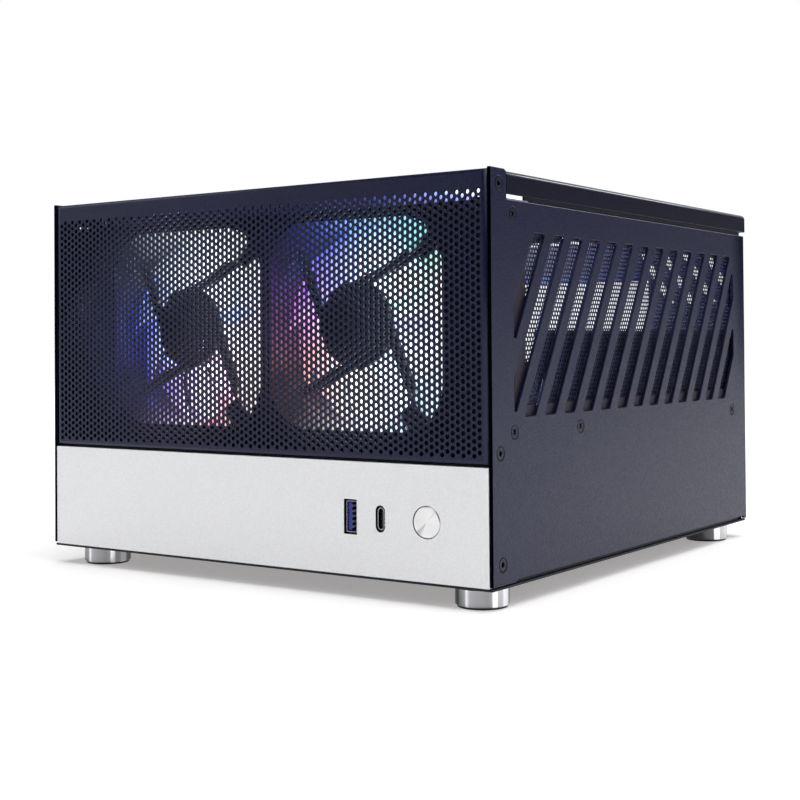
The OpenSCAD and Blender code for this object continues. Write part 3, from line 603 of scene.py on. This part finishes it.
front_cells = {(c, r): front_centre(c, r) for c in range(96) for r in range(36)}
hexa = [(1.6424, 0), (0.8026, 1.433), (-0.8026, 1.433), (-1.6424, 0), (-0.8026, -1.433), (0.8026, -1.433)]
XF, ZB, ZT = 117.55, 48.0, 158.6
pts, tris, rims, corners = perforation(front_cells, front_near, hexa, 10, 0.95, (-XF, ZB, XF, ZT))
nf = len(pts)
verts = [P(u, 0, v) for u, v in pts] + [P(u, 1.0, v) for u, v in pts]
inner_rect = [(-XF, 48.1), (XF, 48.1), (XF, 158.5), (-XF, 158.5)]
for c, (u, v) in zip(corners, inner_rect):
    verts[nf + c] = P(u, 1.0, v)
faces, smooth = [], []


def face(f, s=False):
    faces.append(tuple(f))
    smooth.append(s)


for a, b, c in tris:
    face((a, b, c))
    face((nf + a, nf + c, nf + b))
for rim in rims:
    for a, b in zip(rim, rim[1:] + rim[:1]):
        face((b, a, nf + a, nf + b))


def ring(x, z0, z1, y):
    i = len(verts)
    verts.extend([P(-x, y, z0), P(x, y, z0), P(x, y, z1), P(-x, y, z1)])
    return [i, i + 1, i + 2, i + 3]


def outer_at(d):
    x = XF + math.sqrt(max(0.0, 2.4 ** 2 - (2.4 - min(d, 2.4)) ** 2))
    z = math.sqrt(max(0.0, 1.4 ** 2 - (1.4 - min(d, 1.4)) ** 2))
    return x, ZB - z, ZT + z


def inner_at(d):
    x = XF + math.sqrt(max(0.0, 1.4 ** 2 - (2.4 - min(d, 2.4)) ** 2))
    z = math.sqrt(max(0.0, 0.5 ** 2 - (1.5 - min(d, 1.5)) ** 2))
    return x, 48.1 - z, 158.5 + z


last = list(corners)
for d in (0.03, 0.12, 0.27, 0.48, 0.75, 1.06, 1.4, 1.7, 2.05, 2.4, 10.2):
    new = ring(*outer_at(d), d)
    if d < 10:
        for a in range(4):
            b = (a + 1) % 4
            face((last[b], last[a], new[a], new[b]), True)
        last = new
outer_end = new
o_prev = last
last = [nf + c for c in corners]
for d in (1.03, 1.12, 1.27, 1.5, 1.85, 2.4, 10.2):
    new = ring(*inner_at(d), d)
    if d < 10:
        for a in range(4):
            b = (a + 1) % 4
            face((last[a], last[b], new[b], new[a]), True)
        last = new
inner_end = new
i_prev = last
TX = 116.95
tab = len(verts)
verts.extend([P(TX, 10.2, 160), P(-TX, 10.2, 160), P(TX, 10.2, 159), P(-TX, 10.2, 159),
              P(TX, 11.9, 160), P(-TX, 11.9, 160), P(TX, 11.9, 159), P(-TX, 11.9, 159)])
o0, o1, o2, o3 = outer_end
i0, i1, i2, i3 = inner_end
face((o_prev[1], o_prev[0], o0, o1))
face((o_prev[2], o_prev[1], o1, o2))
face((o_prev[0], o_prev[3], o3, o0))
face((o_prev[3], o_prev[2], o2, tab, tab + 1, o3))
face((i_prev[0], i_prev[1], i1, i0))
face((i_prev[1], i_prev[2], i2, i1))
face((i_prev[3], i_prev[0], i0, i3))
face((i_prev[2], i_prev[3], i3, tab + 3, tab + 2, i2))
face((o1, o0, i0, i1))
face((o2, o1, i1, i2))
face((o0, o3, i3, i0))
face((tab, o2, i2, tab + 2))
face((o3, tab + 1, tab + 3, i3))
face((tab + 1, tab, tab + 4, tab + 5))
face((tab + 2, tab + 3, tab + 7, tab + 6))
face((tab, tab + 2, tab + 6, tab + 4))
face((tab + 3, tab + 1, tab + 5, tab + 7))
face((tab + 5, tab + 4, tab + 6, tab + 7))
add("front_mesh_panel.look", verts, faces, "case", "case_powder", ["front_mesh_panel"], smooth)

# dust screens behind the side slots
PY, RZ = 2.1, 1.775
SY0, SZ0 = 30.1, 69.6


def side_centre(c, r):
    return (SY0 + c * PY + (PY / 2 if r % 2 else 0), SZ0 + r * RZ)


def side_near(u, v):
    best, at = 1e9, None
    r0 = round((v - SZ0) / RZ)
    for r in (r0 - 1, r0, r0 + 1):
        c = round((u - SY0 - (PY / 2 if r % 2 else 0)) / PY)
        cu, cv = side_centre(c, r)
        d = (cu - u) ** 2 + (cv - v) ** 2
        if d < best:
            best, at = d, (c, r)
    return at


side_cells = {(c, r): side_centre(c, r) for c in range(103) for r in range(38)}
hexs = [(1.05, 0.577), (0, 1.1981), (-1.05, 0.577), (-1.05, -0.577), (0, -1.1981), (1.05, -0.577)]
pts, tris, rims, corners = perforation(side_cells, side_near, hexs, 8, 0.675, (21, 64.2, 253, 141.4))
for side, name in ((1, "filter_mesh_right"), (-1, "filter_mesh_left")):
    nf = len(pts)
    verts = [P(side * 118.65, u, v) for u, v in pts] + [P(side * 118.47, u, v) for u, v in pts]
    faces = []
    for a, b, c in tris:
        faces.append((a, b, c) if side > 0 else (a, c, b))
        faces.append((nf + a, nf + c, nf + b) if side > 0 else (nf + a, nf + b, nf + c))
    loops = [(r, False) for r in rims] + [(corners, True)]
    for loop, out in loops:
        for a, b in zip(loop, loop[1:] + loop[:1]):
            f = (a, b, nf + b, nf + a)
            faces.append(f if out != (side > 0) else f[::-1])
    add(name + ".look", verts, faces, "case", "filter_screen", [name])


# ---------------------------------------------------------------- rotors
def polar(k, centre):
    """Turn (0 to 1, from the left, by the bottom) and radius in metres round an axis along Y."""
    sub = k.n("ShaderNodeVectorMath", operation="SUBTRACT")
    sub.inputs[1].default_value = centre
    k.link(k.co, sub.inputs[0])
    sep = k.n("ShaderNodeSeparateXYZ")
    k.link(sub.outputs[0], sep.inputs[0])
    x, z = sep.outputs[0], sep.outputs[2]
    turn = k.math("ADD", k.math("DIVIDE", k.math("ARCTAN2", z, x), 2 * math.pi), 0.5)
    rad = k.math("SQRT", k.math("ADD", k.math("MULTIPLY", x, x), k.math("MULTIPLY", z, z)))
    return turn, rad


def glow(k, centre, hub_stops, rim_stops, gain):
    turn, rad = polar(k, centre)
    wob = k.math("MULTIPLY", k.noise(90, 2), 0.004)
    f = k.span(k.math("ADD", rad, wob), 0, 1, 0.031, 0.043)
    c = mixed(k, f, k.ramp(turn, hub_stops), k.ramp(turn, rim_stops))
    k.s.inputs["Emission Strength"].default_value = gain
    return c, rad


def rotor_look(name, centre, hub_stops, rim_stops):
    """Frosted blades, lit from the hub: the colour runs round the axis and changes towards the rim."""
    k = Look(name, Specular_IOR_Level=0.4, Roughness=0.4)
    c, rad = glow(k, centre, hub_stops, rim_stops, 1.5)
    k.link(c, k.s.inputs["Emission Color"])
    k.colour((0.3, 0.34, 0.42), (0.4, 0.44, 0.52), 300)
    k.relief(700, 0.00005, 0.3)
    return k.m


def frame_look(name, centre, hub_stops, rim_stops, far, corner):
    """Fan frame: black arms and hub plate, frosted outer ring that carries the rotor's light."""
    k = Look(name, Specular_IOR_Level=0.4)
    c, rad = glow(k, centre, hub_stops, rim_stops, 1.2)
    ring = k.ramp(rad, [(0.0424, (0, 0, 0)), (0.0428, (1, 1, 1))])
    turn, rad = polar(k, centre)
    part = k.ramp(turn, [(t, (v, v, v)) for t, v in (
        (0.0, far), (0.05, far), (0.08, 0.06), (0.14, 0.06), (0.175, 0.3), (0.24, 1), (0.336, 1), (0.341, 0), (0.371, 0), (0.376, 1),
        (0.597, 1), (0.601, 0), (0.6225, 0), (0.6265, 1), (0.77, 1), (0.81, 0.5 + corner / 2), (0.835, corner), (0.86, 0.6 * corner), (0.868, 0.06), (0.9, 0.06), (0.94, far))])
    k.link(mixed(k, 1.0, mixed(k, 1.0, c, part, "MULTIPLY"), ring, "MULTIPLY"), k.s.inputs["Emission Color"])
    k.colour((0.006, 0.007, 0.011), (0.012, 0.013, 0.018), 700)
    k.roughness(0.42, 0.52, 500)
    k.relief(1800, 0.00003, 0.35)
    return k.m


def rotor(name, cx, body, mat, lean):
    cz, fy = 101.0, 12.0
    bm = bmesh.new()
    n = 72

    def loop(r, y):
        return [bm.verts.new(P(cx + r * math.cos(2 * math.pi * i / n), y, cz + r * math.sin(2 * math.pi * i / n)))
                for i in range(n)]

    def wall(a, b):
        for i in range(n):
            j = (i + 1) % n
            f = bm.faces.new((a[i], a[j], b[j], b[i]))
            f.smooth = True

    prof = [(16.4, fy + 20.5), (16.4, fy + 4.9), (16.6, fy + 4.6), (17.4, fy + 4.6), (18, fy + 5.2),
            (18, fy + 21.2), (17.2, fy + 22)]
    loops = [loop(r, y) for r, y in prof]
    for a, b in zip(loops, loops[1:]):
        wall(a, b)
    bm.faces.new(loops[-1])
    bm.faces.new(loops[0][::-1])
    ns, nt = 12, 14
    for b in range(9):
        base = 2 * math.pi * b / 9 + 0.25
        rows = []
        for side in (0, 1):
            grid = []
            for i in range(ns + 1):
                s = i / ns
                r = 17.9 + s * (41.7 - 17.9)
                half = (10.6 + 8.0 * s) / r
                mid = base + lean * 0.42 * s ** 1.3
                row = []
                for j in range(nt + 1):
                    t = j / nt
                    edge = 1 - (abs(2 * t - 1) ** 6) * 0.3
                    rr = r if s < 1 else r * (1 - 0.012 * abs(2 * t - 1) ** 4)
                    a = mid + lean * half * (2 * t - 1)
                    axial = 12.4 - 2.8 * s
                    y = fy + 13.2 - axial * 0.5 * (2 * t - 1) + 1.8 * math.sin(math.pi * t)
                    y += (0.62 if side else -0.62) * edge * math.sin(math.pi * min(max(t, 0.04), 0.96)) ** 0.5
                    row.append(bm.verts.new(P(cx + rr * math.cos(a), y, cz + rr * math.sin(a))))
                grid.append(row)
            rows.append(grid)
        front, rear = rows
        for i in range(ns):
            for j in range(nt):
                f1 = bm.faces.new((front[i][j], front[i + 1][j], front[i + 1][j + 1], front[i][j + 1]))
                f2 = bm.faces.new((rear[i][j], rear[i][j + 1], rear[i + 1][j + 1], rear[i + 1][j]))
                f1.smooth = f2.smooth = True
        for i in range(ns):
            bm.faces.new((front[i][0], rear[i][0], rear[i + 1][0], front[i + 1][0]))
            bm.faces.new((front[i][nt], front[i + 1][nt], rear[i + 1][nt], rear[i][nt]))
        for j in range(nt):
            bm.faces.new((front[ns][j], rear[ns][j], rear[ns][j + 1], front[ns][j + 1]))
            bm.faces.new((front[0][j], front[0][j + 1], rear[0][j + 1], rear[0][j]))
    bmesh.ops.recalc_face_normals(bm, faces=bm.faces)
    me = bpy.data.meshes.new(name + ".look")
    bm.to_mesh(me)
    bm.free()
    me.materials.append(mat)
    o = bpy.data.objects.new(name + ".look", me)
    scene.collection.objects.link(o)
    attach(o, body)
    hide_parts(name)
    return o


WHITE, CREAM, BLUE = (1.0, 1.0, 1.0), (1.0, 0.93, 0.82), (0.06, 0.1, 0.95)
# stops run from the left by the bottom (0.25), the right (0.5) and the top (0.75) back to the left
left_hub = [(0.0, (0.45, 0.6, 1.0)), (0.06, (0.55, 0.65, 1.0)), (0.12, (0.55, 0.5, 1.0)), (0.17, (0.6, 0.45, 0.95)), (0.22, (0.95, 0.85, 1.0)),
            (0.28, (1.0, 0.85, 0.9)), (0.33, (1.0, 0.5, 0.55)), (0.37, (1.0, 0.85, 0.8)), (0.42, CREAM), (0.5, WHITE), (0.545, (0.2, 0.4, 1.0)),
            (0.58, (0.8, 0.9, 1.0)), (0.62, WHITE), (0.75, WHITE), (0.86, (0.75, 0.9, 0.95)), (0.93, (0.3, 0.42, 0.8)), (1.0, (0.45, 0.6, 1.0))]
left_rim = [(0.0, (0.05, 0.09, 0.95)), (0.09, (0.04, 0.05, 0.7)), (0.14, (0.3, 0.15, 0.7)), (0.2, (0.75, 0.6, 1.0)), (0.26, (1.0, 0.85, 0.95)),
            (0.31, (1.0, 0.3, 0.5)), (0.35, (1.0, 0.75, 0.7)), (0.42, CREAM), (0.55, WHITE), (0.7, WHITE), (0.8, (0.6, 0.72, 0.75)),
            (0.87, (0.25, 0.34, 0.42)), (0.93, (0.06, 0.1, 0.35)), (1.0, (0.05, 0.09, 0.95))]
right_hub = [(0.0, (1.0, 0.55, 0.75)), (0.04, (1.0, 0.5, 0.55)), (0.09, (1.0, 0.55, 0.45)), (0.13, (1.0, 0.85, 0.75)), (0.22, CREAM), (0.32, WHITE),
             (0.38, (0.55, 0.7, 1.0)), (0.41, WHITE), (0.46, (0.85, 0.88, 1.0)), (0.5, (0.5, 0.5, 1.0)), (0.54, WHITE), (0.575, (0.5, 1.0, 0.8)),
             (0.61, (1.0, 1.0, 0.95)), (0.68, (0.85, 0.95, 1.0)), (0.75, (0.75, 0.85, 1.0)), (0.82, (0.5, 0.55, 1.0)), (0.87, (0.35, 0.3, 1.0)),
             (0.93, (0.55, 0.4, 1.0)), (0.965, (0.85, 0.5, 0.95)), (1.0, (1.0, 0.55, 0.75))]
right_rim = [(0.0, (0.55, 0.12, 0.45)), (0.06, (0.8, 0.25, 0.25)), (0.13, (0.7, 0.42, 0.35)), (0.2, (0.85, 0.8, 0.76)), (0.26, WHITE),
             (0.31, (0.75, 0.9, 1.0)), (0.36, (0.6, 0.85, 1.0)), (0.42, (0.8, 0.95, 1.0)), (0.47, WHITE), (0.56, CREAM), (0.59, (0.5, 1.0, 0.75)),
             (0.63, (0.3, 0.85, 0.9)), (0.7, (0.35, 0.7, 1.0)), (0.76, (0.2, 0.45, 1.0)), (0.82, (0.06, 0.14, 1.0)), (0.87, (0.1, 0.08, 0.9)),
             (0.93, (0.3, 0.08, 0.7)), (1.0, (0.55, 0.12, 0.45))]
for side, cx, hub_stops, rim_stops in (("left", -47.3, left_hub, left_rim), ("right", 47.3, right_hub, right_rim)):
    centre = P(cx, 0, 101)
    rotor("fan_rotor_" + side, cx, "fan_rotor_" + side[0], rotor_look("fan_clear_" + side, centre, hub_stops, rim_stops), 1)
    lit = frame_look("fan_frame_lit_" + side, centre, hub_stops, rim_stops, *((0.4, 0.7) if side == "left" else (0.3, 0.25)))
    bpy.data.objects["fan_frame_%s.look" % side].data.materials[0] = lit

# painted light: the fans' light on the cover's underside and on the sheets near them is put in as glow
k = Look("case_powder_cover", Specular_IOR_Level=0.22, Specular_Tint=(0.62, 0.66, 1.0, 1))
k.colour((0.0016, 0.002, 0.009), (0.004, 0.005, 0.017), 1100, 4)
k.roughness(0.32, 0.42, 900)
k.relief(2400, 0.00005, 0.45)
sep = k.n("ShaderNodeSeparateXYZ")
k.link(k.co, sep.inputs[0])
across = k.ramp(k.span(sep.outputs[0], 0, 1, -0.12, 0.12),
                [(0.0, (0, 0, 0)), (0.44, (0, 0, 0)), (0.57, (0.02, 0.025, 0.14)), (0.68, (0.07, 0.09, 0.5)),
                 (0.76, (0.3, 0.42, 1.0)), (0.8, (0.95, 1, 1))])
along = k.ramp(k.span(sep.outputs[1], 0, 1, -0.12, 0.08),
               [(0.0, (0, 0, 0)), (0.08, (1, 1, 1)), (0.75, (1, 1, 1)), (1.0, (0, 0, 0))])
low = k.ramp(k.span(sep.outputs[2], 0, 1, P(0, 0, 158.5).z, P(0, 0, 158.95).z), [(0.45, (0, 0, 0)), (0.55, (1, 1, 1)), (0.8, (1, 1, 1)), (0.9, (0, 0, 0))])
# painted light: glow on the cover's underside, white at the right, fading through blue to none at the left
k.link(mixed(k, 1.0, mixed(k, 1.0, across, along, "MULTIPLY"), low, "MULTIPLY"), k.s.inputs["Emission Color"])
k.s.inputs["Emission Strength"].default_value = 1.2
M["case_powder_cover"] = k.m
bpy.data.objects["top_cover.look"].data.materials[0] = k.m

# painted light: the inner face of the rear panel glows, brightest across the middle and in its upper part, blue at the
# glow's lower edge
k = Look("inner_powder_lit", Specular_IOR_Level=0.42, Specular_Tint=(0.7, 0.74, 1.0, 1))
k.colour((0.003, 0.0035, 0.007), (0.006, 0.0065, 0.011), 1100, 4)
k.roughness(0.5, 0.62, 900)
k.relief(1250, 0.00012, 0.6)
sep = k.n("ShaderNodeSeparateXYZ")
k.link(k.co, sep.inputs[0])
across = k.ramp(k.span(sep.outputs[0], 0, 1, -0.12, 0.12),
                [(0.0, (0.02, 0.02, 0.03)), (0.3, (0.1, 0.1, 0.12)), (0.5, (0.5, 0.52, 0.6)), (0.62, (0.22, 0.22, 0.26)), (0.74, (0.04, 0.04, 0.1)), (0.85, (0.01, 0.01, 0.03))])
up = k.ramp(k.span(sep.outputs[2], 0, 1, P(0, 0, 122).z, P(0, 0, 150).z),
            [(0.0, (0, 0, 0)), (0.16, (0, 0, 0)), (0.18, (0.35, 0.45, 1.0)), (0.3, (0.35, 0.42, 0.8)), (0.4, (0.3, 0.3, 0.32)), (1.0, (0.45, 0.47, 0.6))])
inside = k.math("LESS_THAN", sep.outputs[1], P(0, 256.8, 0).y)
k.link(mixed(k, 1.0, mixed(k, 1.0, across, up, "MULTIPLY"), k.ramp(inside, [(0.0, (0, 0, 0)), (1.0, (1, 1, 1))]), "MULTIPLY"),
       k.s.inputs["Emission Color"])
k.s.inputs["Emission Strength"].default_value = 1.0
bpy.data.objects["rear_panel.look"].data.materials[0] = k.m


# ---------------------------------------------------------------- stage, light and camera
def lamp(name, kind, at, power, colour=(1, 1, 1), size=0.1, size_y=None, target=None):
    d = bpy.data.lights.new(name, kind)
    d.energy = power
    d.color = colour
    if kind == "AREA":
        d.shape = "RECTANGLE"
        d.size = size
        d.size_y = size_y or size
    else:
        d.shadow_soft_size = size
    o = bpy.data.objects.new(name, d)
    scene.collection.objects.link(o)
    o.location = at
    if target is not None:
        o.rotation_euler = (Vector(target) - Vector(at)).to_track_quat("-Z", "Y").to_euler()
    return o


bpy.ops.mesh.primitive_plane_add(size=30, location=(0, 0, 0))
floor = bpy.context.object
floor.name = "floor"
fl = Look("floor_white", Roughness=0.7, Specular_IOR_Level=0.2)
fl.colour((0.86, 0.86, 0.86), (0.89, 0.89, 0.89), 6)
length = fl.n("ShaderNodeVectorMath", operation="LENGTH")
fl.link(fl.co, length.inputs[0])
far = fl.ramp(fl.span(length.outputs["Value"], 0, 1, 0.6, 2.4), [(0, (0.335, 0.325, 0.32)), (1, (1, 1, 1))])
fl.link(far, fl.s.inputs["Emission Color"])
fl.s.inputs["Emission Strength"].default_value = 1.0
floor.data.materials.append(fl.m)

key = lamp("overhead", "AREA", (0.25, 0.15, 2.0), 64, (1, 0.995, 0.985), 2.6, 2.6, (0, 0, 0))
left = lamp("front_left", "AREA", (-2.3, -1.5, 1.3), 16, (0.97, 0.98, 1), 1.4, 1.2, (0, 0, 0.1))
right = lamp("right", "AREA", (2.0, 0.2, 1.2), 6, (0.98, 0.98, 1), 1.0, 1.0, (0, 0, 0.08))
back = lamp("back", "AREA", (0.3, 2.3, 1.25), 7, (0.97, 0.98, 1), 1.8, 0.6, (0, 0, 0.1))

# the fans' own light
LED = [
    (-47.3, 73, (1.0, 0.97, 0.95), 0.20), (-47.3, 163, (0.1, 0.2, 1.0), 0.28),
    (-47.3, 253, (0.8, 0.4, 0.9), 0.20), (-47.3, 343, (1.0, 0.95, 0.9), 0.20),
    (47.3, 73, (0.2, 0.45, 1.0), 0.24), (47.3, 163, (0.55, 0.15, 0.6), 0.16),
    (47.3, 253, (0.75, 0.95, 1.0), 0.20), (47.3, 343, (1.0, 0.97, 0.9), 0.20),
]
for i, (cx, a, c, w) in enumerate(LED):
    a = math.radians(a)
    o = lamp("led_%02d" % i, "POINT", P(cx + 30 * math.cos(a), 38, 101 + 30 * math.sin(a)), w, c, 0.006)
    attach(o, "case")

world = bpy.data.worlds.new("studio")
scene.world = world
world.use_nodes = True
wt = world.node_tree
bg = next(n for n in wt.nodes if n.type == "BACKGROUND")
out = next(n for n in wt.nodes if n.type == "OUTPUT_WORLD")
bg.inputs["Color"].default_value = (0.55, 0.56, 0.58, 1)
bg.inputs["Strength"].default_value = 0.13
seen = wt.nodes.new("ShaderNodeBackground")
seen.inputs["Color"].default_value = (1, 1, 1, 1)
seen.inputs["Strength"].default_value = 1.0
path = wt.nodes.new("ShaderNodeLightPath")
mixw = wt.nodes.new("ShaderNodeMixShader")
wt.links.new(path.outputs["Is Camera Ray"], mixw.inputs[0])
wt.links.new(bg.outputs[0], mixw.inputs[1])
wt.links.new(seen.outputs[0], mixw.inputs[2])
wt.links.new(mixw.outputs[0], out.inputs["Surface"])

cam_data = bpy.data.cameras.new("camera")
cam = bpy.data.objects.new("camera", cam_data)
scene.collection.objects.link(cam)
yaw, pitch, roll = (math.radians(v) for v in (34.769, -0.870, -0.412))
fwd = Vector((-math.sin(yaw), math.cos(yaw), 0))
right_v = Vector((math.cos(yaw), math.sin(yaw), 0))
up = Vector((0, 0, 1))
fwd2 = math.cos(pitch) * fwd - math.sin(pitch) * up
up2 = math.cos(pitch) * up + math.sin(pitch) * fwd
r3 = math.cos(roll) * right_v + math.sin(roll) * up2
u3 = -math.sin(roll) * right_v + math.cos(roll) * up2
mw = cam.matrix_world.copy()
for i in range(3):
    mw[i][0], mw[i][1], mw[i][2] = r3[i], u3[i], -fwd2[i]
mw.translation = P(399.1, -460.35, 93.04)
cam.matrix_world = mw
cam_data.sensor_width = 36
cam_data.lens = 63.558
cam_data.shift_y = -0.0971
cam_data.clip_start = 0.01
scene.camera = cam

scene.view_settings.view_transform = "Standard"
scene.view_settings.look = "None"

bpy.context.view_layer.update()
